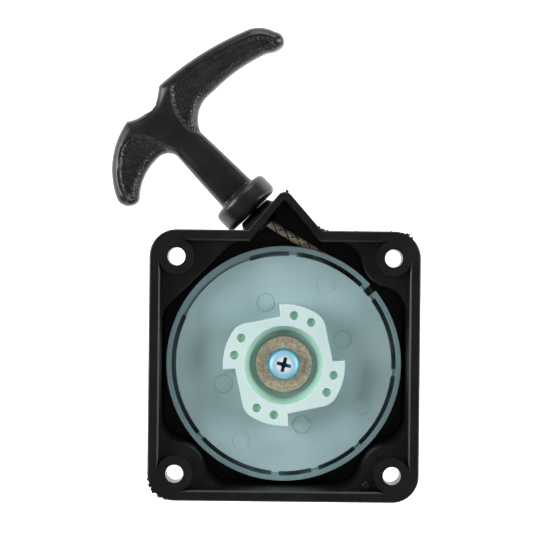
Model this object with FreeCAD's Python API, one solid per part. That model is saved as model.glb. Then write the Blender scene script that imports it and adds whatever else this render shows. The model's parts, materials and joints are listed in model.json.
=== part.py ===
import FreeCAD
import Part
import math
import os

os.makedirs("parts", exist_ok=True)

V = FreeCAD.Vector
UP = V(0, 0, 1)
FAR = 60.0              # larger than anything it cuts

# Frame: origin where the reel's axis meets the engine mating face, +Z towards the engine,
# +Y towards the rope outlet. Everything lies at or below z = 0. Millimetres.

# housing
HALF = 42.5             # half of the square mating rim
RIM_CORNER_R = 8.5
WELL_HALF = 39.1        # half width of the well between its flat sides
BOLT_HALF = 34.0        # half of the 68 mm bolt spacing
BOLT_HOLE_R = 2.8       # clearance for M5
BOSS_R = 5.6
BOSS_WALL_R = 9.2       # well wall bulges in round each boss
WELL_FILLET = 8.0
SHELL = 2.6             # wall of the drum behind the flange
FLANGE_T = 8.0
SHELF_Z = -4.6          # floor of the corner pockets
DEPTH = 30.0
FLOOR_T = 2.5
FLOOR_Z = FLOOR_T - DEPTH
DIAGONAL_REACH = 39.3   # the top left corner is walled off by a straight diagonal web
POST_R = 5.5
POST_Z = -11.8
INSERT_R = 3.5
INSERT_L = 11.0
INSERT_GROOVES = 3
INSERT_GROOVE_PITCH = 2.6
INSERT_GROOVE_W = 0.8
INSERT_GROOVE_R = 3.15
SEAT_R = 6.0            # room for the bolt's head behind the flange
BACK_EDGE_R = 2.2
OUTER_EDGE_R = 0.5
INNER_CHAMFER = 0.5
RIB_H = 0.8
RIB_RINGS = [(22.0, 20.0), (9.0, 7.4)]
SPOKES = 8
SPOKE_START = 8.6
SPOKE_L = 12.0
SPOKE_W = 1.6
POST_HOLE_R = 2.6       # room for the screw below the insert
POST_HOLE_FLOOR = 0.8

# rope outlet, a triangular nose on the top side
NOSE_LEFT = V(-11.6, 42.5, 0)
NOSE_RIGHT = V(11.2, 42.5, 0)
NOSE_TOP = V(-0.6, 55.6, 0)
NOSE_TIP_R = 2.6
NOSE_WALL = 2.3
NOSE_DEPTH = 27.0
NOSE_BASE_Y = 36.0
NOSE_ROOM_Y = 35.0

# reel
REEL_R = 37.7
REAR_R = 37.2
DISC_R = 35.0
RIM_SLOT_OUT = 36.1
RIM_SLOT_IN = 34.6
DISC_Z = -14.0
FLANGE_REEL_T = 1.6
GROOVE = 3.4
REAR_FLANGE_T = 1.4
CORE_R = 19.2
HUB_Z = -5.0
RECESS_R = 12.5
RECESS_FLOOR_R = 10.7
RECESS_Z = POST_Z - 0.3
LOBE_TIP_R = 19.35
LOBE_ROOT_R = 15.45
LOBE_HOLE_R = 1.4
HUB_CHAMFER = 0.25
LOBE_HOLE_AT = 16.0
LOBE_HOLE_DEPTH = 1.2
LOBES = 4
LOBE_FACE_AT = 95.0     # tooth face of the first lobe, and the angles that shape its tip and ramp
LOBE_TIP_AT = (94.7, 75.0, 56.0)
LOBE_NOSE = (0.65, 48.0)
LOBE_RAMP = (1.7, 42.0)
LOBE_HOLES_AT = (58.1, 79.1)
RIM_STEP = 0.5          # the band outside the slots lies this much lower than the disc
RUN_CLEARANCE = 0.06
# rim slots by angle, anticlockwise from +X, degrees; the gaps between them are bridges
RIM_SLOTS = [(-2.5, 36.3), (45.7, 83.8), (87.6, 108.6), (154.6, 219.6), (223.3, 264.2),
             (268.1, 285.2), (289.1, 310.6), (314.1, 354.0)]
NOTCH = (38.8, 43.0)
EJECTOR_R = 2.95        # faint round marks where the mould's pins pushed the reel out
EJECTOR_LINE = 0.25
EJECTOR_DEPTH = 0.12
EJECTOR_MARKS = [(20.4, 107), (20.4, 23), (20.4, 199), (20.4, 287),
                 (28.5, 62), (28.5, 152), (28.5, 242), (28.5, 332)]

# rope
ROPE_R = 1.4
ROPE_PITCH = 3.0
ROPE_OUT_R = 36.2
ROPE_ANGLE = 59.4       # where the rope leaves the reel
HALF_TURNS = 10
ROPE_Z = DISC_Z - FLANGE_REEL_T - GROOVE / 2
BEND_R = 12.0           # the rope turns from the reel's tangent to the grip's axis
JOIN_GAP = 0.15         # the lead and the tail are separate pieces of one rope
KNOT_R = 3.4
KNOT_TORUS = (0.62, 0.42)
REEL_KNOT_HALF = 1.6    # the knot is squeezed between the reel's flanges
KNOT_BACK = 4.0         # degrees before the end of the winding
KNOT_IN = 4.6
KNOT_POCKET = V(8.0, 9.0, GROOVE)

# bush in the outlet, as (distance along the grip's axis, radius)
GUIDE_R = 4.2
GUIDE_BORE_L = 14.0
GUIDE_BUSH = [(-6.4, 3.2), (-6.4, 4.15), (-0.3, 4.15), (-0.3, 3.0), (-1.4, 2.0), (-4.6, 2.0)]
GUIDE_FLANGE = [(-6.4, 4.15), (-6.4, 7.2), (-2.2, 7.0), (-0.3, 5.6), (-0.3, 4.15)]

# pull grip, on an axis through its seat
SEAT = V(-10.15, 48.95, ROPE_Z)
OUT = V(-0.7025, 0.7117, 0).normalize()
SIDE = V(OUT.y, -OUT.x, 0)
COLLAR_R = 10.0
COLLAR_L = 7.5
GRIP_T = 11.0
TUNNEL_R = 2.0
KNOT_POCKET_R = 4.2
KNOT_AT = 27.0
COLLAR_FILLET = 2.4
STEM_START = COLLAR_L - 1.5
STEM = [(STEM_START, 0), (STEM_START, 6.3), (32.0, 5.5), (44.0, 5.3), (44.0, 0)]
KNOT_WASHER_R = 3.9
KNOT_WASHER_T = 1.0
KNOT_WASHER_GAP = 0.1
KNOT_STANDS = 4.6       # knot centre above the pocket floor
TAIL_OVERLAP = 3.2
# outline of the two arms: arcs as (distance out along the axis, distance to the side)
GRIP_ARCS = [
    [(30.2, 5.4), (35.0, 9.0), (36.9, 17.0)],
    [(36.9, 17.0), (36.4, 27.0), (33.6, 38.6)],
    [(33.6, 38.6), (31.9, 41.6), (31.6, 44.0)],
    [(31.6, 44.0), (33.7, 45.8), (36.7, 45.1)],
    [(36.7, 45.1), (41.6, 42.0), (43.9, 37.7)],
    [(43.9, 37.7), (48.2, 22.8), (50.2, 6.0)],
    [(50.2, 6.0), (46.8, -2.2), (49.1, -9.3)],
    [(49.1, -9.3), (43.2, -21.6), (33.8, -28.8)],
    [(33.8, -28.8), (31.1, -29.1), (28.3, -26.4)],
    [(28.3, -26.4), (28.0, -25.3), (28.6, -23.6)],
    [(28.6, -23.6), (33.0, -16.4), (33.9, -10.6)],
    [(33.9, -10.6), (33.0, -7.3), (30.2, -5.4)],
]

# centre screw and its washer
WASHER_R = 9.0
WASHER_T = 1.3
WASHER_HOLE_R = 2.7
WASHER_EDGE_R = 0.2
SCREW_R = 2.5
SCREW_L = 13.0
SCREW_HEAD_R = 5.1
SCREW_HEAD_H = 3.2
SCREW_DOME_R = 2.0
CROSS_ARM = V(5.0, 1.15, 2.8)
CROSS_CORE_R = 0.95
CROSS_FLOOR = 0.7       # metal left between the cross and the head's seat
CROSS_TAPER = (0.5, 2.75)
CROSS_TURN = -14.0

# spring
CASE_R = 26.0
CASE_T = 0.6
STRIP_T = 0.5
STRIP_H = 4.0
ARBOR_R = 9.0
ARBOR_L = 5.2
HOOK_SLOT = V(4.0, 1.2, 6.0)
HOOK_SLOT_IN = 2.4
SPRING_PITCH = 1.0
SPRING_TURNS = 12
STRIP_CLEAR = 0.3       # below and above the strip
WALL_CLEAR = 0.1
CASE_H = CASE_T + STRIP_H + 2 * STRIP_CLEAR
CASE_BORE_R = ARBOR_R + 0.6
RUN_IN = (0.6, 0.9)     # how the last half turn draws in to the arbor


def polar(r, deg, z=0.0):
    a = math.radians(deg)
    return V(r * math.cos(a), r * math.sin(a), z)


def disc(r, z0, z1, at=V()):
    return Part.makeCylinder(r, z1 - z0, V(at.x, at.y, z0))


def prism(points, z0, z1):
    loop = [V(p.x, p.y, z0) for p in points]
    return Part.Face(Part.makePolygon(loop + loop[:1])).extrude(V(0, 0, z1 - z0))


def upright_edges(shape, test):
    found = []
    for edge in shape.Edges:
        a = edge.Vertexes[0].Point
        b = edge.Vertexes[-1].Point
        if abs(a.x - b.x) < 1e-6 and abs(a.y - b.y) < 1e-6 and abs(a.z - b.z) > 1e-3 and test(a):
            found.append(edge)
    return found


def block(half, corner_r, z0, z1):
    box = Part.makeBox(2 * half, 2 * half, z1 - z0, V(-half, -half, z0))
    return box.makeFillet(corner_r, upright_edges(box, lambda p: True))


def one(shape):
    shape = shape.removeSplitter()
    if len(shape.Solids) != 1:
        print("note: solids", len(shape.Solids), [round(s.Volume, 2) for s in shape.Solids])
    return max(shape.Solids, key=lambda s: s.Volume)


def corners():
    return [V(sx * BOLT_HALF, sy * BOLT_HALF, 0) for sx, sy in ((1, 1), (-1, 1), (-1, -1), (1, -1))]


def well(z0, z1):
    box = Part.makeBox(2 * WELL_HALF, 2 * WELL_HALF, z1 - z0, V(-WELL_HALF, -WELL_HALF, z0))
    for c in corners():
        if c.x < 0 < c.y:
            reach = DIAGONAL_REACH * math.sqrt(2) - WELL_HALF
            far = WELL_HALF + 5
            box = box.cut(prism([V(-far, reach - 5, 0), V(-far, far, 0), V(5 - reach, far, 0)], z0, z1))
        else:
            box = box.cut(disc(BOSS_WALL_R, z0, z1, c))
    box = box.removeSplitter()
    edges = upright_edges(box, lambda p: max(abs(p.x), abs(p.y)) > WELL_HALF - 0.01)
    return box.makeFillet(WELL_FILLET, edges)


def well_wall(z0, z1):
    top = [f for f in well(z0, z1).Faces if abs(f.CenterOfMass.z - z0) < 1e-6][0]
    outer = Part.Face(top.OuterWire.makeOffset2D(SHELL)).extrude(V(0, 0, z1 - z0))
    return outer.common(block(HALF, RIM_CORNER_R, z0, z1))


def nose(inset, z0, z1, base_y):
    left = (NOSE_TOP - NOSE_LEFT).normalize()
    right = (NOSE_TOP - NOSE_RIGHT).normalize()
    in_left = V(left.y, -left.x, 0) * inset
    in_right = V(-right.y, right.x, 0) * inset
    a = NOSE_LEFT + in_left
    b = NOSE_RIGHT + in_right
    a = a + left * ((base_y - a.y) / left.y)
    b = b + right * ((base_y - b.y) / right.y)
    k = (b.x - a.x) / (left.x - right.x)
    shape = prism([a, b, a + left * k], z0, z1)
    edges = upright_edges(shape, lambda p: p.y > base_y + 1)
    return shape.makeFillet(max(NOSE_TIP_R - inset, 0.5), edges)


def along_grip(r, a0, a1):
    return Part.makeCylinder(r, a1 - a0, SEAT + OUT * a0, OUT)


def grip_ring(profile):
    # profile: list of (distance along the grip axis, radius), turned about that axis
    points = [SEAT + OUT * a + SIDE * r for a, r in profile]
    face = Part.Face(Part.makePolygon(points + [points[0]]))
    return face.revolve(SEAT, OUT, 360)


def rim_edges(shape, test):
    found = []
    for edge in shape.Edges:
        box = edge.BoundBox
        if abs(box.ZMin) < 1e-4 and abs(box.ZMax) < 1e-4 and test(edge):
            found.append(edge)
    return found


def rim_bevel():
    # slanted inner edge of the rim: a loft from the well's mouth outwards
    low = [f for f in pocket_block(0).Faces if abs(f.CenterOfMass.z) < 1e-6][0].OuterWire
    high = [f for f in pocket_block(2 * INNER_CHAMFER).Faces if abs(f.CenterOfMass.z) < 1e-6][0].OuterWire
    low.translate(V(0, 0, -INNER_CHAMFER))
    high.translate(V(0, 0, INNER_CHAMFER))
    shape = Part.makeLoft([low, high], True, True)
    for c in corners():
        outward = V(math.copysign(20, c.x), math.copysign(20, c.y), 0)
        lug = prism([c, c + V(outward.x, 0, 0), c + outward, c + V(0, outward.y, 0)], -2, 2)
        shape = shape.cut(lug).cut(disc(BOSS_R, -2, 2, c))
    return shape


def pocket_block(grow):
    half = WELL_HALF + grow
    return block(half, RIM_CORNER_R - HALF + half, 0, 1)


def under_flange(box):
    level = max(abs(box.ZMin + FLANGE_T), abs(box.ZMax + FLANGE_T)) < 1e-4
    return level and max(box.XMax, box.YMax, -box.XMin, -box.YMin) > HALF - 1e-3


def starter_housing():
    body = block(HALF, RIM_CORNER_R, -FLANGE_T, 0)
    body = body.fuse(well_wall(-DEPTH, -FLANGE_T)).removeSplitter()
    body = body.makeFillet(BACK_EDGE_R, [e for e in body.Edges if abs(e.BoundBox.ZMax + DEPTH) < 1e-4])
    body = body.makeFillet(OUTER_EDGE_R, [e for e in body.Edges if under_flange(e.BoundBox)])
    body = body.fuse(nose(0, -NOSE_DEPTH, 0, NOSE_BASE_Y)).removeSplitter()
    body = body.makeFillet(OUTER_EDGE_R, rim_edges(body, lambda e: True))
    body = body.cut(well(FLOOR_Z, 1))
    body = body.cut(nose(NOSE_WALL, -NOSE_DEPTH + FLOOR_T, 1, NOSE_ROOM_Y))
    pocket = block(WELL_HALF, RIM_CORNER_R - HALF + WELL_HALF, SHELF_Z, 1)
    for c in corners():
        pocket = pocket.cut(disc(BOSS_R, SHELF_Z, 1, c))
        outward = V(math.copysign(10, c.x), math.copysign(10, c.y), 0)
        lug = prism([c, c + V(outward.x, 0, 0), c + outward, c + V(0, outward.y, 0)], SHELF_Z, 1)
        pocket = pocket.cut(lug)
    body = body.cut(pocket).removeSplitter()
    body = body.cut(rim_bevel())
    for c in corners():
        body = body.cut(disc(BOLT_HOLE_R, -FLANGE_T - 1, 1, c))
        # flat seat for the bolt's head, clear of the drum wall
        body = body.cut(disc(SEAT_R, -DEPTH - 1, -FLANGE_T, c))
    body = body.fuse(disc(POST_R, FLOOR_Z, POST_Z))
    body = body.cut(disc(INSERT_R, POST_Z - INSERT_L, 0))
    body = body.cut(disc(POST_HOLE_R, FLOOR_Z + POST_HOLE_FLOOR, 0))
    body = body.cut(along_grip(GUIDE_R, -GUIDE_BORE_L, 0))
    return one(body.fuse(back_ribs()))


def back_ribs():
    # low ring and spokes that stiffen the closed back
    low = -DEPTH - RIB_H
    outer, inner = [disc(wide, low, -DEPTH).cut(disc(narrow, low, -DEPTH)) for wide, narrow in RIB_RINGS]
    shape = outer.fuse(inner)
    for k in range(SPOKES):
        spoke = Part.makeBox(SPOKE_L, SPOKE_W, RIB_H, V(SPOKE_START, -SPOKE_W / 2, low))
        spoke.rotate(V(), UP, 360 / SPOKES * k)
        shape = shape.fuse(spoke)
    return shape.removeSplitter()


def rope_guide(housing):
    # flanged bush through the slanted outlet wall; both mouths are flared for the rope
    blank = grip_ring(GUIDE_BUSH)
    flange = grip_ring(GUIDE_FLANGE)
    outside = flange.cut(nose(0, -NOSE_DEPTH - 1, 1, NOSE_BASE_Y))
    outside = outside.cut(block(HALF, RIM_CORNER_R, -FLANGE_T, 0))
    outside = outside.cut(housing)
    return one(blank.fuse(outside))


def lobe_outline():
    # four pinwheel lobes: each has a radial tooth face, an arc at the tip and a straight ramp
    edges = []
    for k in range(LOBES):
        turn = 90.0 * k
        root = polar(LOBE_ROOT_R, LOBE_FACE_AT + turn)
        tip, mid, end = [polar(LOBE_TIP_R, at + turn) for at in LOBE_TIP_AT]
        nose_mid = polar(LOBE_TIP_R - LOBE_NOSE[0], LOBE_NOSE[1] + turn)
        ramp = polar(LOBE_TIP_R - LOBE_RAMP[0], LOBE_RAMP[1] + turn)
        next_root = polar(LOBE_ROOT_R, LOBE_FACE_AT - 90 + turn)
        edges.append(Part.makeLine(root, tip))
        edges.append(Part.Arc(tip, mid, end).toShape())
        edges.append(Part.Arc(end, nose_mid, ramp).toShape())
        edges.append(Part.makeLine(ramp, next_root))
    return Part.Face(Part.Wire(Part.__sortEdges__(edges)))


def sector(r, start, stop, z0, z1):
    steps = max(2, int(abs(stop - start) / 30) + 2)
    points = [V()] + [polar(r, start + (stop - start) * i / (steps - 1)) for i in range(steps)]
    return prism(points, z0, z1)


def starter_reel():
    front = DISC_Z
    under = DISC_Z - FLANGE_REEL_T
    rear = under - GROOVE
    back = rear - REAR_FLANGE_T
    body = disc(DISC_R, under, front)
    body = body.fuse(disc(REEL_R, under, front - RIM_STEP))
    body = body.fuse(disc(CORE_R, rear, under))
    body = body.fuse(disc(REAR_R, back, rear))
    body = body.fuse(disc(ARBOR_R, back - ARBOR_L, back))
    for r, angle in EJECTOR_MARKS:
        at = polar(r, angle)
        low = front - EJECTOR_DEPTH
        mark = disc(EJECTOR_R, low, front + 1, at)
        body = body.cut(mark.cut(disc(EJECTOR_R - EJECTOR_LINE, low, front + 1, at)))
    hub = lobe_outline().extrude(V(0, 0, HUB_Z - front))
    hub.translate(V(0, 0, front))
    top = [e for e in hub.Edges if abs(e.BoundBox.ZMin - HUB_Z) < 1e-4]
    hub = hub.makeChamfer(HUB_CHAMFER, top)
    for k in range(LOBES):
        for angle in LOBE_HOLES_AT:
            at = polar(LOBE_HOLE_AT, angle + 90 * k)
            hub = hub.cut(disc(LOBE_HOLE_R, HUB_Z - LOBE_HOLE_DEPTH, 0, at))
    body = body.fuse(hub)
    body = body.cut(Part.makeCone(RECESS_FLOOR_R, RECESS_R, HUB_Z - RECESS_Z, V(0, 0, RECESS_Z)))
    body = body.cut(disc(POST_R + RUN_CLEARANCE, back - 6, 0))
    band = disc(RIM_SLOT_OUT, under - 0.01, 0).cut(disc(RIM_SLOT_IN, under - 0.01, 0))
    for start, stop in RIM_SLOTS:
        body = body.cut(band.common(sector(FAR, start, stop, under - 0.01, 0)))
    wide = disc(FAR, under - 0.01, 0).cut(disc(RIM_SLOT_IN, under - 0.01, 0))
    body = body.cut(wide.common(sector(2 * FAR, NOTCH[0], NOTCH[1], under - 0.01, 0)))
    # knot pocket in the core, and the hook slot for the spring in the arbor
    body = body.cut(knot_pocket())
    corner = V(ARBOR_R - HOOK_SLOT_IN, -HOOK_SLOT.y / 2, back - HOOK_SLOT.z)
    body = body.cut(Part.makeBox(HOOK_SLOT.x, HOOK_SLOT.y, HOOK_SLOT.z, corner))
    return one(body)


def knot_centre():
    return polar(CORE_R - KNOT_IN, coil_end_angle() - KNOT_BACK, ROPE_Z)


def coil_end_angle():
    return ROPE_ANGLE - 180.0 * HALF_TURNS


def knot_pocket():
    size = KNOT_POCKET
    pocket = Part.makeBox(size.x, size.y, size.z, size * -0.5)
    pocket.rotate(V(), UP, coil_end_angle() - KNOT_BACK)
    pocket.translate(knot_centre())
    return pocket


def rope_along(path):
    start = path.Edges[0]
    at = start.valueAt(start.FirstParameter)
    heading = start.tangentAt(start.FirstParameter)
    section = Part.Wire(Part.makeCircle(ROPE_R, at, heading))
    return path.makePipeShell([section], True, True)


def rope_coil():
    # a flat spiral: each half turn is a half torus, and the centres swap sides of the reel's axis
    e = polar(1, ROPE_ANGLE)
    shift = ROPE_PITCH / 4
    point = e * ROPE_OUT_R + UP * ROPE_Z
    solid = None
    for k in range(HALF_TURNS):
        sign = 1 if k % 2 == 0 else -1
        centre = e * (shift * sign) + UP * ROPE_Z
        reach = point - centre
        section = Part.Face(Part.Wire(Part.makeCircle(ROPE_R, point, UP.cross(reach))))
        turn = section.revolve(centre, UP * -1, 180)
        solid = turn if solid is None else solid.fuse(turn)
        point = centre - reach
    return one(solid)


def rope_bend():
    # where the rope, coming straight off the reel, meets the grip's axis
    start = polar(ROPE_OUT_R, ROPE_ANGLE, ROPE_Z)
    heading = polar(1, ROPE_ANGLE + 90)
    det = heading.x * OUT.y - heading.y * OUT.x
    gap = SEAT - start
    along = (gap.x * OUT.y - gap.y * OUT.x) / det
    return start, heading, start + heading * along


def rope_lead():
    start, heading, bend = rope_bend()
    half = math.acos(heading.dot(OUT)) / 2
    cut = BEND_R * math.tan(half)
    a = bend - heading * cut
    b = bend + OUT * cut
    stop = SEAT - OUT * JOIN_GAP
    centre = b + (SIDE if SIDE.dot(a - b) > 0 else SIDE * -1) * BEND_R
    mid = centre + (bend - centre).normalize() * BEND_R
    path = Part.Wire([Part.makeLine(start, a), Part.Arc(a, mid, b).toShape(), Part.makeLine(b, stop)])
    return one(rope_along(path))


def reel_knot():
    ball = Part.makeSphere(KNOT_R, knot_centre())
    return one(ball.common(disc(FAR, ROPE_Z - REEL_KNOT_HALF, ROPE_Z + REEL_KNOT_HALF)))


def spring_case():
    floor = FLOOR_Z + CASE_T
    body = disc(CASE_R, FLOOR_Z, FLOOR_Z + CASE_H).cut(disc(CASE_R - CASE_T, floor, FLOOR_Z + CASE_H))
    return one(body.cut(disc(CASE_BORE_R, FLOOR_Z, floor)))


def spring_cover():
    z0 = FLOOR_Z + CASE_H
    return one(disc(CASE_R, z0, z0 + CASE_T).cut(disc(CASE_BORE_R, z0, z0 + CASE_T)))


def recoil_spring():
    # resting strip: loose turns against the case wall, then a run in to the arbor
    z0 = FLOOR_Z + CASE_T + STRIP_CLEAR
    shift = SPRING_PITCH / 4
    point = V(CASE_R - CASE_T - STRIP_T / 2 - WALL_CLEAR, 0, z0)
    edges = []
    for k in range(2 * SPRING_TURNS):
        sign = 1 if k % 2 == 0 else -1
        centre = V(shift * sign, 0, z0)
        reach = point - centre
        quarter = FreeCAD.Rotation(UP, -90).multVec(reach)
        edges.append(Part.Arc(point, centre + quarter, centre - reach).toShape())
        point = centre - reach
    mid_r = (point.x + ARBOR_R) / 2 + RUN_IN[0]
    edges.append(Part.Arc(point, V(0, -mid_r, z0), V(RUN_IN[1] - mid_r, 0, z0)).toShape())
    wire = Part.Wire(edges)
    strip = wire.makeOffset2D(STRIP_T, 0, True, True)
    return one(strip.extrude(V(0, 0, STRIP_H)))


def centre_insert():
    top = POST_Z
    body = disc(INSERT_R, top - INSERT_L, top)
    for k in range(1, INSERT_GROOVES + 1):
        z = top - k * INSERT_GROOVE_PITCH
        groove = disc(INSERT_R + 1, z, z + INSERT_GROOVE_W)
        body = body.cut(groove.cut(disc(INSERT_GROOVE_R, z, z + INSERT_GROOVE_W)))
    return one(body.cut(disc(SCREW_R, top - INSERT_L - 1, top + 1)))


def reel_washer():
    ring = disc(WASHER_R, POST_Z, POST_Z + WASHER_T)
    ring = ring.makeFillet(WASHER_EDGE_R, [e for e in ring.Edges if e.Closed])
    return one(ring.cut(disc(WASHER_HOLE_R, POST_Z, POST_Z + WASHER_T)))


def centre_screw():
    seat = POST_Z + WASHER_T
    top = seat + SCREW_HEAD_H
    head = disc(SCREW_HEAD_R, seat, top)
    head = head.makeFillet(SCREW_DOME_R, [e for e in head.Edges if abs(e.BoundBox.ZMin - top) < 1e-6])
    body = head.fuse(disc(SCREW_R, seat - SCREW_L, seat))
    # tapered cross recess
    low = seat + CROSS_FLOOR
    arm = CROSS_ARM
    cross = Part.makeBox(arm.x, arm.y, arm.z, V(-arm.x / 2, -arm.y / 2, low))
    other = cross.copy()
    other.rotate(V(), UP, 90)
    cross = cross.fuse(other).fuse(disc(CROSS_CORE_R, low, low + arm.z))
    cross = cross.common(Part.makeCone(*CROSS_TAPER, arm.z, V(0, 0, low)))
    cross.rotate(V(), UP, CROSS_TURN)
    return one(body.cut(cross))


def grip_point(a, b, z=0.0):
    return V(SEAT.x, SEAT.y, 0) + OUT * a + SIDE * b + UP * z


def pull_grip():
    z0 = SEAT.z - GRIP_T / 2
    edges = []
    for run in GRIP_ARCS:
        edges.append(Part.Arc(*[grip_point(a, b, z0) for a, b in run]).toShape())
    edges.append(Part.makeLine(grip_point(*GRIP_ARCS[-1][-1], z0), grip_point(*GRIP_ARCS[0][0], z0)))
    arms = Part.Face(Part.Wire(edges)).extrude(V(0, 0, GRIP_T))
    stem = grip_ring(STEM)
    collar = Part.makeCylinder(COLLAR_R, COLLAR_L, SEAT, OUT)
    collar = collar.makeFillet(COLLAR_FILLET, [e for e in collar.Edges if e.Closed])
    body = arms.fuse(stem).fuse(collar)
    body = body.cut(along_grip(TUNNEL_R, -1, KNOT_AT + 1))
    body = body.cut(along_grip(KNOT_POCKET_R, KNOT_AT, FAR))
    return one(body)


def knot_washer():
    low = KNOT_AT + KNOT_WASHER_GAP
    ring = along_grip(KNOT_WASHER_R, low, low + KNOT_WASHER_T)
    return one(ring.cut(along_grip(ROPE_R + JOIN_GAP, KNOT_AT, KNOT_AT + 2)))


def grip_knot():
    centre = SEAT + OUT * (KNOT_AT + KNOT_STANDS)
    wrap, thick = KNOT_TORUS
    ball = Part.makeSphere(KNOT_R, centre)
    return one(ball.fuse(Part.makeTorus(KNOT_R * wrap, KNOT_R * thick, centre, OUT)))


def rope_tail():
    tail = along_grip(ROPE_R, JOIN_GAP, KNOT_AT + TAIL_OVERLAP)
    return one(tail.cut(grip_knot()))


housing = starter_housing()
nodes = {
    "starter_housing": housing,
    "rope_guide": rope_guide(housing),
    "centre_insert": centre_insert(),
    "centre_screw": centre_screw(),
    "reel_washer": reel_washer(),
    "spring_case": spring_case(),
    "spring_cover": spring_cover(),
    "recoil_spring": recoil_spring(),
    "rope_lead": rope_lead(),
    "starter_reel": starter_reel(),
    "rope_coil": rope_coil(),
    "reel_knot": reel_knot(),
    "rope_tail": rope_tail(),
    "grip_knot": grip_knot(),
    "knot_washer": knot_washer(),
    "pull_grip": pull_grip(),
}
for name, shape in nodes.items():
    shape.exportStep("parts/" + name + ".step")
    b = shape.BoundBox
    print(name, shape.ShapeType, shape.isValid(), round(shape.Volume, 1),
          [round(v, 1) for v in (b.XMin, b.XMax, b.YMin, b.YMax, b.ZMin, b.ZMax)])
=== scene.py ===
import json
import math
import bpy
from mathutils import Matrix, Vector, noise
from mathutils.kdtree import KDTree


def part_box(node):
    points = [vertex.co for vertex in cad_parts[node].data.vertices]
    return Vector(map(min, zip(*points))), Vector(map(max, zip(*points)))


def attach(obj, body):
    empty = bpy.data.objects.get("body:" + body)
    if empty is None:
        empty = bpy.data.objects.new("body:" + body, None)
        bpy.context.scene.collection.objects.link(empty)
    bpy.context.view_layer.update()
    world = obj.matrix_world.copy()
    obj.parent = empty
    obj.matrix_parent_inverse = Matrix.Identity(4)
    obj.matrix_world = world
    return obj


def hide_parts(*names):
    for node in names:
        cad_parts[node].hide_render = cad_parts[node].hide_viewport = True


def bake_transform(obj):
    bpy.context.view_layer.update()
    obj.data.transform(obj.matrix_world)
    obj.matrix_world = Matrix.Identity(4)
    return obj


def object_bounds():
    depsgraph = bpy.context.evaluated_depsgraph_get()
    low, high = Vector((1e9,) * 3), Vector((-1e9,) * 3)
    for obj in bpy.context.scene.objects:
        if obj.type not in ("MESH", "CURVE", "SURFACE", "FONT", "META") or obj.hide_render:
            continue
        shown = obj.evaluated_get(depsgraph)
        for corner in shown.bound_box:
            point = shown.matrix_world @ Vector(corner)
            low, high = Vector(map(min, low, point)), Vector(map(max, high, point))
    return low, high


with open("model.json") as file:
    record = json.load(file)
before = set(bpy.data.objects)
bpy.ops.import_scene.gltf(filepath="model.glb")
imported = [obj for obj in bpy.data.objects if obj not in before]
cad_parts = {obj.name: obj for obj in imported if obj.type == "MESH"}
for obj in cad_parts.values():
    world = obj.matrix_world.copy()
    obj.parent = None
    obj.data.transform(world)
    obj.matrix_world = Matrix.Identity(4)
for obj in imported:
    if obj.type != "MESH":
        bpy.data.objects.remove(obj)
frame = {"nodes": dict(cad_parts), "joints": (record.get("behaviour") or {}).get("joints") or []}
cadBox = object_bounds()
nodes = frame["nodes"]
mm = 0.001
print("frame loaded:", len(nodes), "nodes")

# seat is where the grip's collar rests, and out is the way that the rope is pulled
gripTurn = next(j for j in frame["joints"] if j["name"] == "grip_turn")
seat = Vector(gripTurn["pos_m"])
out = Vector(gripTurn["axis"]).normalized()
side = Vector((out.y, -out.x, 0))
up = Vector((0, 0, 1))
alongGrip = out.to_track_quat("Z", "Y")


def deselectAll():
    if bpy.context.object and bpy.context.object.mode != "OBJECT":
        bpy.ops.object.mode_set(mode="OBJECT")
    bpy.ops.object.select_all(action="DESELECT")


def pick(piece):
    deselectAll()
    piece.select_set(True)
    bpy.context.view_layer.objects.active = piece
    return piece


def linearColour(hexColour):
    parts = [int(hexColour[i:i + 2], 16) / 255 for i in (1, 3, 5)]
    return [c / 12.92 if c <= 0.04045 else ((c + 0.055) / 1.055) ** 2.4 for c in parts] + [1.0]


def addNode(tree, kind, settings=None, inputs=None):
    # settings are the node's own properties; inputs are values or (node, socket) links
    node = tree.nodes.new(kind)
    for name, value in (settings or {}).items():
        setattr(node, name, value)
    for name, value in (inputs or {}).items():
        if isinstance(value, tuple) and isinstance(value[0], bpy.types.Node):
            tree.links.new(value[0].outputs[value[1]], node.inputs[name])
        else:
            node.inputs[name].default_value = value
    return node


def newMaterial(name):
    material = bpy.data.materials.new(name)
    material.use_nodes = True
    tree = material.node_tree
    tree.nodes.clear()
    return material, tree


def finishMaterial(material, inputs):
    # inputs are the surface shader's own
    tree = material.node_tree
    shader = addNode(tree, "ShaderNodeBsdfPrincipled", inputs=inputs)
    addNode(tree, "ShaderNodeOutputMaterial", inputs={"Surface": (shader, 0)})
    return material


def objectPlace(tree):
    return (addNode(tree, "ShaderNodeTexCoord"), "Object")


def noiseNode(tree, place, scale, detail, roughness=0.5):
    return (addNode(tree, "ShaderNodeTexNoise", inputs={
        "Vector": place, "Scale": scale, "Detail": detail, "Roughness": roughness}), "Fac")


def mathsNode(tree, operation, first, second=0.5):
    return (addNode(tree, "ShaderNodeMath", {"operation": operation}, {0: first, 1: second}), 0)


def rangeNode(tree, value, low, high, toLow=0.0, toHigh=1.0):
    return (addNode(tree, "ShaderNodeMapRange", inputs={
        "Value": value, "From Min": low, "From Max": high, "To Min": toLow, "To Max": toHigh}), "Result")


def bumpNode(tree, height, distance, strength, normal=None):
    inputs = {"Height": height, "Distance": distance, "Strength": strength}
    if normal:
        inputs["Normal"] = normal
    return (addNode(tree, "ShaderNodeBump", inputs=inputs), "Normal")


def axisDistance(tree, place):
    # distance from the reel's axis
    parts = addNode(tree, "ShaderNodeSeparateXYZ", inputs={"Vector": place})
    flat = addNode(tree, "ShaderNodeCombineXYZ", inputs={"X": (parts, "X"), "Y": (parts, "Y")})
    return (addNode(tree, "ShaderNodeVectorMath", {"operation": "LENGTH"}, {0: (flat, "Vector")}), "Value")


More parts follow.
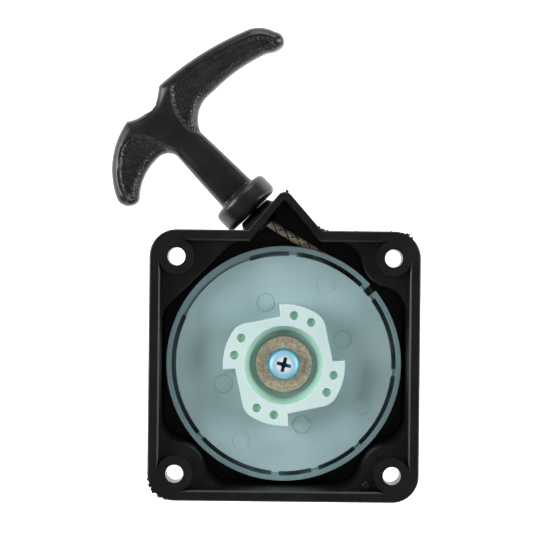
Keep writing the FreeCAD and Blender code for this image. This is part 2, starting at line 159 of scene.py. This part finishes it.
def multiplyColour(tree, first, second):
    return (addNode(tree, "ShaderNodeMix", {"data_type": "RGBA", "blend_type": "MULTIPLY"},
                    {0: 1.0, 6: first, 7: second}), 2)


def colourRamp(tree, source, stops):
    ramp = addNode(tree, "ShaderNodeValToRGB", inputs={"Fac": source})
    elements = ramp.color_ramp.elements
    while len(elements) < len(stops):
        elements.new(0.5)
    for element, (place, colour) in zip(elements, stops):
        element.position = place
        element.color = linearColour(colour)
    return (ramp, "Color")


def useMaterial(piece, material):
    piece.data.materials.clear()
    piece.data.materials.append(material)


def applyModifier(piece, kind, **settings):
    pick(piece)
    bpy.ops.object.modifier_add(type=kind)
    modifier = piece.modifiers[-1]
    for name, value in settings.items():
        setattr(modifier, name, value)
    bpy.ops.object.modifier_apply(modifier=modifier.name)


# across is the width seen at the mating face; sensor is in mm, roll in degrees
cameraSetup = {"distance": 500 * mm, "across": 166.56 * mm, "x": -5.83 * mm, "y": 31.1 * mm, "roll": 0.6,
               "sensor": 36}

bpy.ops.object.camera_add(location=(cameraSetup["x"], cameraSetup["y"], cameraSetup["distance"]),
                          rotation=(0, 0, math.radians(cameraSetup["roll"])))
camera = bpy.context.object
camera.name = "viewCamera"
camera.data.sensor_width = cameraSetup["sensor"]
camera.data.lens = cameraSetup["sensor"] * cameraSetup["distance"] / cameraSetup["across"]
camera.data.clip_start = 0.01
bpy.context.scene.camera = camera

# floorSize is in metres, floorGap is how far the floor lies under the object
stageSetup = {"floor": "#f4f4f4", "floorGlow": 0.95, "sky": 0.12, "floorSize": 14, "floorGap": 0.1 * mm}

deselectAll()
bpy.ops.mesh.primitive_plane_add(size=stageSetup["floorSize"],
                                 location=(0, 0, cadBox[0][2] - stageSetup["floorGap"]))
floor = bpy.context.object
floor.name = "studioFloor"
useMaterial(floor, finishMaterial(newMaterial("paleFloor")[0], {
    "Base Color": linearColour(stageSetup["floor"]), "Roughness": 0.9, "Specular IOR Level": 0.0,
    "Emission Color": [1, 1, 1, 1], "Emission Strength": stageSetup["floorGlow"]}))

world = bpy.data.worlds.new("softSky")
world.use_nodes = True
sky = world.node_tree.nodes["Background"]
sky.inputs["Color"].default_value = [1, 1, 1, 1]
sky.inputs["Strength"].default_value = stageSetup["sky"]
bpy.context.scene.world = world
bpy.context.scene.view_settings.view_transform = "Standard"

# name: place in metres, size, power
lights = {
    "softLeft": ((-0.95, 0.15, 0.5), 0.7, 13),
    "softRight": ((1.0, 0.1, 0.5), 0.7, 11),
    "softTop": ((0.05, 1.0, 0.5), 0.7, 5),
    "softLow": ((0.0, -0.95, 0.5), 0.7, 4),
}
lightsAim = Vector((0, 0.03, 0))
for name, (place, size, power) in lights.items():
    bpy.ops.object.light_add(type="AREA", location=place)
    light = bpy.context.object
    light.name = name
    light.data.size = size
    light.data.energy = power
    light.rotation_euler = (lightsAim - Vector(place)).to_track_quat("-Z", "Y").to_euler()
print("camera and light set")


def coverNylon():
    # glass-filled black nylon, moulded: dull sheen, fine grain, faint pale scuffs
    material, tree = newMaterial("coverNylon")
    place = objectPlace(tree)
    grain = noiseNode(tree, place, 2600.0, 3.0)
    flow = noiseNode(tree, place, 90.0, 5.0, 0.65)
    return finishMaterial(material, {
        "Base Color": colourRamp(tree, flow, [(0.3, "#0b0a0a"), (0.62, "#12110f"), (0.8, "#1f1c1a")]),
        "Roughness": rangeNode(tree, flow, 0.3, 0.75, 0.27, 0.36),
        "Normal": bumpNode(tree, grain, 0.00006, 0.35), "IOR": 1.5})


def gripPlastic():
    # black polypropylene, moulded: satin skin, leather grain where the grain attribute is 1
    material, tree = newMaterial("gripPlastic")
    place = objectPlace(tree)
    mask = addNode(tree, "ShaderNodeAttribute", {"attribute_name": "grain"})
    cells = addNode(tree, "ShaderNodeTexVoronoi", {"feature": "SMOOTH_F1"},
                    {"Vector": place, "Scale": 1750.0, "Smoothness": 0.6})
    fine = noiseNode(tree, place, 3000.0, 2.0)
    flow = noiseNode(tree, place, 120.0, 4.0)
    depth = mathsNode(tree, "MULTIPLY", (cells, "Distance"), (mask, "Fac"))
    leather = bumpNode(tree, depth, 0.0004, 0.5)
    return finishMaterial(material, {
        "Base Color": colourRamp(tree, flow, [(0.3, "#131314"), (0.7, "#1b1b1c")]),
        "Roughness": rangeNode(tree, flow, 0.3, 0.7, 0.26, 0.34),
        "Normal": bumpNode(tree, fine, 0.00003, 0.3, leather), "IOR": 1.49})


def reelNylon():
    # natural nylon, moulded: milky blue-green, painted lighter and darker by height: painted shade on the low
    # rim ring and thin disc, painted light up on the ratchet hub
    material, tree = newMaterial("reelNylon")
    place = objectPlace(tree)
    parts = addNode(tree, "ShaderNodeSeparateXYZ", inputs={"Vector": place})
    height = rangeNode(tree, (parts, "Z"), -0.0147, -0.0050)
    cloud = noiseNode(tree, place, 40.0, 2.0)
    # painted light and shade by height: darkest low on the rim ring, paler higher up on the hub and its
    # recess
    tone = colourRamp(tree, height, [(0.03, "#86a3a6"), (0.055, "#aec9cd"), (0.3, "#a6c7c0"),
                                     (0.88, "#a9d8bf"), (0.95, "#c2d5d3")])
    tint = colourRamp(tree, cloud, [(0.35, "#f3f6f7"), (0.65, "#ffffff")])
    # the sheen is drawn out across very fine rings around the axis
    backward = mathsNode(tree, "MULTIPLY", (parts, "Y"), -1.0)
    around = addNode(tree, "ShaderNodeCombineXYZ", inputs={"X": backward, "Y": (parts, "X")})
    fine = noiseNode(tree, place, 900.0, 2.0)
    return finishMaterial(material, {
        "Base Color": multiplyColour(tree, tone, tint), "Roughness": 0.38, "IOR": 1.53, "Anisotropic": 0.8,
        "Tangent": (around, "Vector"), "Subsurface Weight": 0.35, "Subsurface Radius": [0.7, 1.0, 0.95],
        "Subsurface Scale": 0.0015, "Normal": bumpNode(tree, fine, 0.00001, 0.3)})


def platedSteel(name, light, dark, rough, scale):
    # plated or bare metal with cloudy patches: zinc with a tinted passivate, oiled spring steel, turned brass
    material, tree = newMaterial(name)
    cloud = noiseNode(tree, objectPlace(tree), scale, 6.0, 0.7)
    return finishMaterial(material, {
        "Base Color": colourRamp(tree, cloud, [(0.36, dark), (0.62, light)]),
        "Metallic": 1.0, "Roughness": rough, "Normal": bumpNode(tree, cloud, 0.00004, 0.3)})


def screwSteel():
    # blue-passivated zinc on steel, with a painted highlight: pale at the crown, deeper blue at the rim;
    # painted shade darkens the cross recess
    material, tree = newMaterial("blueZincSteel")
    place = objectPlace(tree)
    radius = axisDistance(tree, place)
    parts = addNode(tree, "ShaderNodeSeparateXYZ", inputs={"Vector": place})
    # painted highlight: the tone runs from pale at the dome's crown to deeper blue at its rim
    tone = colourRamp(tree, rangeNode(tree, radius, 0.0, 0.0051),
                      [(0.35, "#f6fbfd"), (0.7, "#a0d0e4"), (1.0, "#5fa5c1")])
    # painted shade: the recess is whatever lies near the axis and below the head's crown, and it is darkened
    low = mathsNode(tree, "LESS_THAN", (parts, "Z"), -0.00745)
    near = mathsNode(tree, "LESS_THAN", radius, 0.003)
    recessShade = colourRamp(tree, mathsNode(tree, "MULTIPLY", low, near), [(0.0, "#ffffff"), (1.0, "#3f6a80")])
    fine = noiseNode(tree, place, 1500.0, 3.0)
    return finishMaterial(material, {
        "Base Color": multiplyColour(tree, tone, recessShade), "Metallic": 1.0, "Roughness": 0.6,
        "Normal": bumpNode(tree, fine, 0.00003, 0.4)})


def alongAttribute(tree):
    return (addNode(tree, "ShaderNodeAttribute", {"attribute_name": "around"}), "Vector")


def alongAxis(tree):
    # places measured around and along the grip's axis
    turn = alongGrip.to_matrix().transposed()
    mapping = addNode(tree, "ShaderNodeMapping", inputs={
        "Vector": objectPlace(tree), "Rotation": turn.to_euler(), "Location": turn @ -seat})
    return (mapping, "Vector")


def braidedRope(name, pale, dark, follow):
    # polyester starter rope, braided: dull yarn, pale bundles, painted shade in the gaps between them, and
    # dark flecks
    bundles, bundleLength = 8.0, 0.0011
    material, tree = newMaterial(name)
    place = follow(tree)
    parts = addNode(tree, "ShaderNodeSeparateXYZ", inputs={"Vector": place})
    turn = mathsNode(tree, "ARCTAN2", (parts, "Y"), (parts, "X"))
    around = mathsNode(tree, "MULTIPLY", turn, bundles)
    along = mathsNode(tree, "MULTIPLY", (parts, "Z"), math.tau / bundleLength)
    waves = [mathsNode(tree, "COSINE", mathsNode(tree, way, around, along)) for way in ("ADD", "SUBTRACT")]
    height = rangeNode(tree, mathsNode(tree, "MULTIPLY", *waves), -1.0, 1.0)
    # the colour darkens where the bundles dip: painted shade in the gaps, with random dark flecks on top
    gapShadeAndFlecks = mathsNode(tree, "MULTIPLY", height, noiseNode(tree, place, 900.0, 3.0))
    return finishMaterial(material, {
        "Base Color": colourRamp(tree, gapShadeAndFlecks, [(0.08, dark), (0.42, pale)]), "Roughness": 0.85,
        "Normal": bumpNode(tree, height, 0.0003, 0.8), "Sheen Weight": 0.15})


def yarn(name, colour, shade):
    # twisted polyester yarn of one strand: dull, with fine fibres, and darkened with painted shade where it
    # runs in under the reel's rim
    material, tree = newMaterial(name)
    place = objectPlace(tree)
    fibre = noiseNode(tree, place, 2600.0, 4.0)
    tone = colourRamp(tree, fibre, [(0.35, shade), (0.62, colour)])
    # painted shade: the yarn is darkened where it lies in under the reel's rim, near the axis
    clearOfReel = rangeNode(tree, axisDistance(tree, place), 0.0365, 0.0395)
    reelShade = colourRamp(tree, clearOfReel, [(0.0, "#35332c"), (1.0, "#ffffff")])
    return finishMaterial(material, {
        "Base Color": multiplyColour(tree, tone, reelShade), "Roughness": 0.85,
        "Normal": bumpNode(tree, fibre, 0.0001, 0.6), "Sheen Weight": 0.15})


finishes = {
    "cover": coverNylon(),
    "grip": gripPlastic(),
    "reel": reelNylon(),
    "yellowZinc": platedSteel("yellowZincSteel", "#e8dac6", "#b9a891", 0.66, 1100.0),
    "blueZinc": screwSteel(),
    "springSteel": platedSteel("oiledSpringSteel", "#8d8d90", "#6a6a6d", 0.35, 500.0),
    "brass": platedSteel("turnedBrass", "#d8b46a", "#b9924a", 0.3, 400.0),
    "ropePale": yarn("ropeYarnPale", "#e2d6bd", "#b8ad97"),
    "ropeDark": yarn("ropeYarnDark", "#6e6555", "#4c463a"),
    # the wound braid, also used for the knots, is a slightly darker copy of the tail's: painted shade for the
    # rope wound in the reel
    "ropeWound": braidedRope("braidedRopeWound", "#b4a992", "#4a443a", alongAttribute),
    "ropeTail": braidedRope("braidedRopeTail", "#bdb199", "#4f493f", alongAxis),
}
nodeFinishes = {
    "starter_housing": "cover", "rope_guide": "cover", "centre_insert": "brass", "centre_screw": "blueZinc",
    "reel_washer": "yellowZinc", "spring_case": "springSteel", "spring_cover": "springSteel",
    "recoil_spring": "springSteel", "starter_reel": "reel", "knot_washer": "springSteel"}
for name, finish in nodeFinishes.items():
    useMaterial(nodes[name], finishes[finish])
print("materials made")


def gripPoint(reach, aside=0.0):
    return seat + out * (reach * mm) + side * (aside * mm)


def polar(radius, degrees, height=0.0):
    turn = math.radians(degrees)
    return Vector((radius * math.cos(turn), radius * math.sin(turn), height))


def arcThrough(start, middle, end, count):
    # count points of the arc that starts at start and stops just short of end
    ax, ay = start
    bx, by = middle
    cx, cy = end
    # (ux, uy) is the centre of the circle through the three points
    d = 2 * (ax * (by - cy) + bx * (cy - ay) + cx * (ay - by))
    aa, bb, cc = ax * ax + ay * ay, bx * bx + by * by, cx * cx + cy * cy
    ux = (aa * (by - cy) + bb * (cy - ay) + cc * (ay - by)) / d
    uy = (aa * (cx - bx) + bb * (ax - cx) + cc * (bx - ax)) / d
    radius = math.hypot(ax - ux, ay - uy)
    first, half, last = (math.atan2(p[1] - uy, p[0] - ux) for p in (start, middle, end))
    sweep = (last - first) % math.tau
    if (half - first) % math.tau > sweep:
        sweep -= math.tau
    turns = [first + sweep * i / count for i in range(count)]
    return [(ux + radius * math.cos(turn), uy + radius * math.sin(turn)) for turn in turns]


def slab(name, points, low, high):
    # a flat blank: a filled circle takes the outline's shape and is extruded from low to high
    deselectAll()
    bpy.ops.mesh.primitive_circle_add(vertices=len(points), fill_type="NGON")
    blank = bpy.context.object
    blank.name = name
    for vertex, point in zip(blank.data.vertices, points):
        vertex.co = point + up * (low * mm)
    bpy.ops.object.mode_set(mode="EDIT")
    bpy.ops.mesh.select_all(action="SELECT")
    bpy.ops.mesh.extrude_region_move(TRANSFORM_OT_translate={"value": (0, 0, (high - low) * mm)})
    bpy.ops.mesh.select_all(action="SELECT")
    bpy.ops.mesh.normals_make_consistent(inside=False)
    bpy.ops.object.mode_set(mode="OBJECT")
    return blank


def rod(name, radius, start, stop, tip=None):
    # a round bar along the grip's axis, from start to stop
    deselectAll()
    bpy.ops.mesh.primitive_cone_add(vertices=64, radius1=radius * mm, radius2=(tip or radius) * mm,
                                    depth=(stop - start) * mm, location=gripPoint((start + stop) / 2),
                                    rotation=alongGrip.to_euler())
    bar = bpy.context.object
    bar.name = name
    bpy.ops.object.transform_apply(location=True, rotation=True, scale=True)
    return bar


def carve(piece, cutter):
    applyModifier(piece, "BOOLEAN", operation="DIFFERENCE", object=cutter, solver="EXACT")
    bpy.data.objects.remove(cutter)


def weld(piece, others):
    pick(piece)
    for other in others:
        other.select_set(True)
    bpy.ops.object.join()
    return piece


def insideOutline(x, y, outline):
    inside = False
    for (x1, y1), (x2, y2) in zip(outline, outline[1:] + outline[:1]):
        if (y1 > y) != (y2 > y) and x < (x2 - x1) * (y - y1) / (y2 - y1) + x1:
            inside = not inside
    return inside


# lengths in mm; an outline is arcs of three places, each (out, to the side) from the collar's seat
# stem is its radius at the collar and at the arms; tunnel and pocket are (radius, start, end) along the pull
gripShape = {
    "thickness": 11.0, "edgeRound": 3.3, "collarRadius": 10.0, "collarLength": 7.4, "collarRound": 1.8,
    "panelDepth": 0.9, "lip": 0.25, "stem": (5.5, 5.2), "stemSpan": (5.0, 43.0), "tunnel": (2.0, -2, 28.5),
    "pocket": (4.2, 27.0, 60), "voxel": 0.38, "smoothing": 4, "grainAbove": 2,
    "outline": [
        ((5.5, 6.4), (18.0, 5.95), (30.2, 5.4)), ((30.2, 5.4), (35.0, 9.0), (36.9, 17.0)),
        ((36.9, 17.0), (36.4, 27.0), (33.6, 38.6)), ((33.6, 38.6), (31.9, 41.6), (31.6, 44.0)),
        ((31.6, 44.0), (33.7, 45.8), (36.7, 45.1)), ((36.7, 45.1), (41.6, 42.0), (43.9, 37.7)),
        ((43.9, 37.7), (48.2, 22.8), (50.2, 6.0)), ((50.2, 6.0), (46.8, -2.2), (49.1, -9.3)),
        ((49.1, -9.3), (43.2, -21.6), (33.8, -28.8)), ((33.8, -28.8), (31.1, -29.1), (28.3, -26.4)),
        ((28.3, -26.4), (28.0, -25.3), (28.6, -23.6)), ((28.6, -23.6), (33.0, -16.4), (33.9, -10.6)),
        ((33.9, -10.6), (33.0, -7.3), (30.2, -5.4)), ((30.2, -5.4), (18.0, -5.95), (5.5, -6.4))],
    "longPanel": [
        ((47.1, 10.0), (44.9, 23.5), (40.9, 36.6)), ((40.9, 36.6), (38.6, 40.4), (35.0, 42.6)),
        ((35.0, 42.6), (31.0, 40.0), (26.0, 39.0)), ((26.0, 39.0), (29.0, 24.0), (28.5, 8.0)),
        ((28.5, 8.0), (30.0, 4.6), (34.6, 2.9)), ((34.6, 2.9), (40.5, 4.1), (45.0, 7.0)),
        ((45.0, 7.0), (46.7, 8.2), (47.1, 10.0))],
    "shortPanel": [
        ((44.5, -12.4), (42.6, -9.3), (38.2, -7.0)), ((38.2, -7.0), (35.0, -6.0), (30.0, -6.6)),
        ((30.0, -6.6), (28.0, -16.0), (25.0, -23.0)), ((25.0, -23.0), (28.0, -26.0), (31.4, -26.3)),
        ((31.4, -26.3), (37.4, -23.6), (41.0, -19.8)), ((41.0, -19.8), (43.8, -16.0), (44.5, -12.4))]}


def outlinePoints(arcs, count):
    return [p for start, middle, end in arcs for p in arcThrough(start, middle, end, count)]


def nearest(outline):
    # a lookup for the distance from any place to the outline, in mm
    steps = 8
    tree = KDTree(len(outline) * steps)
    count = 0
    for (x1, y1), (x2, y2) in zip(outline, outline[1:] + outline[:1]):
        for i in range(steps):
            tree.insert((x1 + (x2 - x1) * i / steps, y1 + (y2 - y1) * i / steps, 0), count)
            count += 1
    tree.balance()
    return tree


def ease(value, start, end):
    t = min(1.0, max(0.0, (value - start) / (end - start)))
    return t * t * (3 - 2 * t)


def makeGrip():
    shape = gripShape
    half = shape["thickness"] / 2
    edge = shape["edgeRound"]
    border = outlinePoints(shape["outline"], 24)
    grip = slab("gripMoulding", [gripPoint(a, b) for a, b in border], -half, half)
    applyModifier(grip, "REMESH", mode="VOXEL", voxel_size=shape["voxel"] * mm)
    # the flat blank is rounded off towards its outline, and the leather panels are sunk into both faces
    rim = nearest(border)
    panels = [outlinePoints(shape[name], 20) for name in ("longPanel", "shortPanel")]
    panelRims = [nearest(points) for points in panels]
    for vertex in grip.data.vertices:
        place = vertex.co - seat
        a, b, height = place.dot(out) / mm, place.dot(side) / mm, place.z / mm
        inward = min(edge, rim.find((a, b, 0))[2])
        top = half - edge + math.sqrt(edge * edge - (edge - inward) ** 2)
        for points, lookup in zip(panels, panelRims):
            gap = lookup.find((a, b, 0))[2]
            inside = insideOutline(a, b, points)
            lip = math.exp(-((gap - 0.5) / 0.4) ** 2) if not inside else 0.0
            top += lip * shape["lip"] * ease(inward, 0.5, 2.0)
            if inside:
                top -= shape["panelDepth"] * ease(gap, 0.0, 0.5)
        vertex.co.z = seat.z + height / half * top * mm
    collar = rod("collar", shape["collarRadius"], 0.0, shape["collarLength"])
    applyModifier(collar, "BEVEL", width=shape["collarRound"] * mm, segments=5, limit_method="ANGLE",
                  angle_limit=math.radians(60))
    stem = rod("stem", shape["stem"][0], *shape["stemSpan"], tip=shape["stem"][1])
    weld(grip, [collar, stem])
    applyModifier(grip, "REMESH", mode="VOXEL", voxel_size=shape["voxel"] * mm)
    carve(grip, rod("ropeTunnel", *shape["tunnel"]))
    carve(grip, rod("knotPocket", *shape["pocket"]))
    applyModifier(grip, "REMESH", mode="VOXEL", voxel_size=shape["voxel"] * mm)
    applyModifier(grip, "SMOOTH", factor=0.5, iterations=shape["smoothing"])
    grained = []
    for vertex in grip.data.vertices:
        place = vertex.co - seat
        a, b = place.dot(out) / mm, place.dot(side) / mm
        onPanel = any(insideOutline(a, b, points) for points in panels)
        grained.append(float(abs(place.z) > shape["grainAbove"] * mm and onPanel))
    grip.data.attributes.new("grain", "FLOAT", "POINT").data.foreach_set("value", grained)
    pick(grip)
    bpy.ops.object.shade_smooth()
    useMaterial(grip, finishes["grip"])
    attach(grip, "grip")
    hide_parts("pull_grip")
    return grip


grip = makeGrip()
print("pull grip made:", len(grip.data.polygons), "faces")


# lengths in mm, leavesAt in degrees; carriers is the number of strands that wind each way
ropeShape = {"radius": 1.4, "height": -17.3, "reelRadius": 36.2, "leavesAt": 59.4, "pitch": 3.0,
             "halfTurns": 10, "carriers": 8, "lay": 9.0, "strandRadius": 0.28, "wave": 0.1,
             "leadStep": 0.19, "tailStep": 0.5, "windingStep": 1.2, "tailReach": (-1.2, 3, 14, 29.0),
             "blendReach": (-1.0, 6.0), "tailInset": 0.06}
# node that each knot stands for, its body, the way that it faces and the size of its loops in mm
knots = {"gripKnot": ("grip_knot", "rope_end", alongGrip, 2.1),
         "reelKnot": ("reel_knot", "reel", up.to_track_quat("Z", "Y"), 1.9)}


def routeLine(name, points, step):
    # points read from the route's NURBS spline, then spaced evenly
    curve = bpy.data.curves.new(name, "CURVE")
    curve.dimensions = "3D"
    spline = curve.splines.new("NURBS")
    spline.points.add(len(points) - 1)
    for knot, place in zip(spline.points, points):
        knot.co = (*place, 1)
    spline.order_u = 3
    spline.use_endpoint_u = True
    spline.resolution_u = 16
    route = bpy.data.objects.new(name, curve)
    bpy.context.scene.collection.objects.link(route)
    bpy.context.view_layer.update()
    mesh = bpy.data.meshes.new_from_object(route)
    dense = [v.co.copy() for v in mesh.vertices]
    bpy.data.objects.remove(route)
    line, gone = [dense[0]], 0.0
    for a, b in zip(dense, dense[1:]):
        run = (b - a).length
        while run > 0 and gone + run >= step:
            a = a + (b - a) * ((step - gone) / run)
            line.append(a)
            run = (b - a).length
            gone = 0.0
        gone += run
    return line


def lineFrames(line):
    # tangent, sideways and up directions along a line that stays nearly level
    frames = []
    for i, place in enumerate(line):
        ahead = (line[min(i + 1, len(line) - 1)] - line[max(i - 1, 0)]).normalized()
        across = ahead.cross(up).normalized() if abs(ahead.z) < 0.99 else Vector((1, 0, 0))
        frames.append((place, across, across.cross(ahead).normalized()))
    return frames


def curveToMesh(name, runs, thickness, sides):
    curve = bpy.data.curves.new(name, "CURVE")
    curve.dimensions = "3D"
    curve.bevel_depth = thickness
    curve.bevel_resolution = sides
    curve.use_fill_caps = True
    for run in runs:
        spline = curve.splines.new("POLY")
        spline.points.add(len(run) - 1)
        for knot, place in zip(spline.points, run):
            knot.co = (*place, 1)
    piece = bpy.data.objects.new(name, curve)
    bpy.context.scene.collection.objects.link(piece)
    pick(piece)
    bpy.ops.object.convert(target="MESH")
    piece = bpy.context.object
    bpy.ops.object.shade_smooth()
    return piece


def plainTube(name, line, radius, sides=16):
    # a skin of rings along the line; the attributes say where a point lies around and along the rope
    frames = lineFrames(line)
    deselectAll()
    bpy.ops.mesh.primitive_cylinder_add(vertices=sides, depth=len(line) - 1, end_fill_type="NGON")
    tube = bpy.context.object
    tube.name = name
    bpy.ops.object.mode_set(mode="EDIT")
    bpy.ops.mesh.select_all(action="DESELECT")
    bpy.ops.object.mode_set(mode="OBJECT")
    for edge in tube.data.edges:
        a, b = (tube.data.vertices[i].co for i in edge.vertices)
        edge.select = abs(a.z - b.z) > 0.5
    bpy.ops.object.mode_set(mode="EDIT")
    bpy.ops.mesh.subdivide_edgering(number_cuts=len(line) - 2, interpolation="LINEAR")
    bpy.ops.object.mode_set(mode="OBJECT")
    low = -(len(line) - 1) / 2
    step = (line[1] - line[0]).length
    around = tube.data.attributes.new("around", "FLOAT_VECTOR", "POINT")
    for i, vertex in enumerate(tube.data.vertices):
        ring = round(vertex.co.z - low)
        turn = math.atan2(vertex.co.y, vertex.co.x)
        place, across, over = frames[ring]
        vertex.co = place + (across * math.cos(turn) + over * math.sin(turn)) * radius
        around.data[i].vector = (math.cos(turn), math.sin(turn), ring * step)
    pick(tube)
    bpy.ops.object.shade_smooth()
    return tube


def braid(name, line):
    # two sets of strands wind opposite ways and pass over and under each other
    shape = ropeShape
    count = shape["carriers"]
    twist = math.tau / (shape["lay"] * mm)
    crossing = math.pi / (count * twist)
    wave = shape["wave"] * mm
    mean = (shape["radius"] - shape["strandRadius"] - shape["wave"]) * mm
    frames = lineFrames(line)
    step = (line[1] - line[0]).length
    runs = []
    for way in (1, -1):
        for k in range(count):
            run = []
            for i, (place, across, over) in enumerate(frames):
                gone = i * step
                turn = math.tau * k / count + way * twist * gone
                reach = mean + way * wave * math.cos(math.pi * gone / crossing)
                run.append(place + (across * math.cos(turn) + over * math.sin(turn)) * reach)
            runs.append(run)
    pale = [run for i, run in enumerate(runs) if i % 4 != 1]
    dark = [run for i, run in enumerate(runs) if i % 4 == 1]
    strands = curveToMesh(name, pale, shape["strandRadius"] * mm, 1)
    useMaterial(strands, finishes["ropePale"])
    darker = curveToMesh(name + "Dark", dark, shape["strandRadius"] * mm, 1)
    useMaterial(darker, finishes["ropeDark"])
    core = curveToMesh(name + "Core", [line], mean, 3)
    useMaterial(core, finishes["ropeDark"])
    return weld(strands, [darker, core])


def makeRope():
    shape = ropeShape
    height = shape["height"] * mm
    leaves = polar(shape["reelRadius"] * mm, shape["leavesAt"], height)
    heading = polar(1, shape["leavesAt"] + 90)
    across = heading.x * out.y - heading.y * out.x
    gap = seat - leaves
    bend = leaves + heading * ((gap.x * out.y - gap.y * out.x) / across)
    # the lead starts a little way back under the winding's last turn, where the reel's rim hides it
    back = polar(shape["reelRadius"] * mm, shape["leavesAt"] - 8, height)
    route = [back, leaves, leaves + heading * (0.5 * (bend - leaves).length), bend - heading * (3 * mm),
             bend + out * (2.4 * mm), seat + out * (0.4 * mm)]
    lead = braid("ropeLead", routeLine("leadRoute", route, shape["leadStep"] * mm))
    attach(lead, "cover")
    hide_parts("rope_lead")
    tailRoute = [gripPoint(reach) for reach in shape["tailReach"]]
    tail = plainTube("ropeTail", routeLine("tailRoute", tailRoute, shape["tailStep"] * mm),
                     (shape["radius"] - shape["tailInset"]) * mm)
    useMaterial(tail, finishes["ropeTail"])
    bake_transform(tail)
    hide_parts("rope_tail")
    # the winding is a flat spiral of half circles, as the reel winds it
    first = polar(1, shape["leavesAt"])
    shift = shape["pitch"] / 4 * mm
    reach = shape["reelRadius"] * mm - shift
    line = []
    for k in range(shape["halfTurns"]):
        centre = first * (shift if k % 2 == 0 else -shift) + up * height
        base = shape["leavesAt"] - 180 * k
        steps = max(24, int(reach * math.pi / (shape["windingStep"] * mm)))
        line += [centre + polar(reach, base - 180 * i / steps) for i in range(steps)]
        reach -= 2 * shift
    winding = plainTube("ropeWinding", line, shape["radius"] * mm, 12)
    useMaterial(winding, finishes["ropeWound"])
    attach(winding, "reel")
    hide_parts("rope_coil")


def makeKnot(name, centre, size, body, node, turn):
    # a tight overhand knot: the rope follows a trefoil
    line = []
    count = 160
    for i in range(count):
        t = math.tau * i / (count - 1)
        place = Vector((math.sin(t) + 2 * math.sin(2 * t), math.cos(t) - 2 * math.cos(2 * t),
                        -1.3 * math.sin(3 * t)))
        line.append(centre + turn @ (place * (size * mm / 3)))
    knot = plainTube(name, line, 1.15 * mm, 14)
    useMaterial(knot, finishes["ropeWound"])
    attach(knot, body)
    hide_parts(node)


makeRope()
for name, (node, body, turn, size) in knots.items():
    low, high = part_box(node)
    makeKnot(name, (low + high) / 2, size, body, node, turn.to_matrix())
print("rope made")


# mould marks on the reel: places are (radius in mm, angle in degrees) on its face
ejectorMarks = {"radius": 2.9, "line": 0.06, "discZ": -14.0, "places": [
    (20.4, 107), (20.4, 23), (20.4, 199), (20.4, 287)]}
# a moulded nub beside the lower right bolt boss, on the corner pocket's floor; lengths in mm
nubShape = {"x": 26.3, "y": -37.3, "floorZ": -4.6, "radius": 1.25, "height": 2.2,
            "ribLength": 3.6, "ribWidth": 0.7, "ribHeight": 1.2}
# torn flash on the moulding's outer edges: (x, y, z, size) in mm, inside the cover's overall size
flashBits = [
    (38.0, 41.2, -0.5, 1.5), (36.6, 41.7, -0.5, 1.0), (39.4, 40.2, -0.5, 1.1), (33.2, 42.2, -0.5, 0.9),
    (11.5, 42.4, -0.5, 1.5), (10.4, 43.4, -0.6, 1.1), (13.2, 42.3, -0.5, 0.9), (0.4, 54.6, -0.6, 1.0),
    (-40.2, -39.3, -0.6, 1.9), (-41.3, -37.6, -0.6, 1.5), (-38.6, -40.6, -0.6, 1.7),
    (-41.9, -35.9, -0.6, 1.1), (-36.8, -41.6, -0.6, 1.2), (-42.2, -3.0, -0.6, 0.7), (42.1, 12.0, -0.6, 0.7),
    (22.0, 42.2, -0.5, 0.8)]
# how ragged the flash is, the scale of its noise, and how far in mm it stays inside the overall size
flashShape = {"ragged": 0.9, "noiseScale": 2600, "inset": 0.03}


def joinParts(name, parts, finish, body):
    piece = weld(parts[0], parts[1:])
    piece.name = name
    useMaterial(piece, finishes[finish])
    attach(piece, body)


def makeMarks():
    parts = []
    for radius, angle in ejectorMarks["places"]:
        deselectAll()
        bpy.ops.mesh.primitive_torus_add(
            major_segments=48, minor_segments=8, major_radius=ejectorMarks["radius"] * mm,
            minor_radius=ejectorMarks["line"] * mm,
            location=polar(radius * mm, angle, ejectorMarks["discZ"] * mm))
        bpy.ops.object.transform_apply(location=True, rotation=True, scale=True)
        parts.append(bpy.context.object)
    joinParts("ejectorMarks", parts, "reel", "reel")


def makeNub():
    nub = nubShape
    deselectAll()
    bpy.ops.mesh.primitive_cylinder_add(
        vertices=32, radius=nub["radius"] * mm, depth=nub["height"] * mm,
        location=(nub["x"] * mm, nub["y"] * mm, (nub["floorZ"] + nub["height"] / 2 - 0.1) * mm))
    post = bpy.context.object
    bpy.ops.object.transform_apply(location=True, rotation=True, scale=True)
    applyModifier(post, "BEVEL", width=0.35 * mm, segments=3, limit_method="ANGLE")
    deselectAll()
    bpy.ops.mesh.primitive_cube_add(
        size=1, location=((nub["x"] + nub["ribLength"] / 2) * mm, nub["y"] * mm,
                          (nub["floorZ"] + 0.5) * mm))
    rib = bpy.context.object
    rib.scale = (nub["ribLength"] * mm, nub["ribWidth"] * mm, nub["ribHeight"] * mm)
    bpy.ops.object.transform_apply(location=True, rotation=True, scale=True)
    applyModifier(rib, "BEVEL", width=0.15 * mm, segments=2, limit_method="ANGLE")
    joinParts("pocketNub", [post, rib], "cover", "cover")


def makeFlash():
    parts = []
    inset = flashShape["inset"] * mm
    for i, (x, y, z, size) in enumerate(flashBits):
        deselectAll()
        bpy.ops.mesh.primitive_ico_sphere_add(subdivisions=3, radius=size * 0.5 * mm,
                                              location=(x * mm, y * mm, z * mm))
        bit = bpy.context.object
        bpy.ops.object.transform_apply(location=True, rotation=True, scale=True)
        for vertex in bit.data.vertices:
            place = vertex.co - Vector((x, y, z)) * mm
            push = noise.noise(vertex.co * flashShape["noiseScale"] + Vector((i, 0, 0)))
            vertex.co += place * push * flashShape["ragged"]
            # nothing stands above the mating face or outside the cover's size
            for axis in range(3):
                low, high = cadBox[0][axis] + inset, cadBox[1][axis] - inset
                vertex.co[axis] = max(low, min(high, vertex.co[axis]))
        parts.append(bit)
    joinParts("mouldFlash", parts, "cover", "cover")


makeMarks()
makeNub()
makeFlash()
print("small details made")
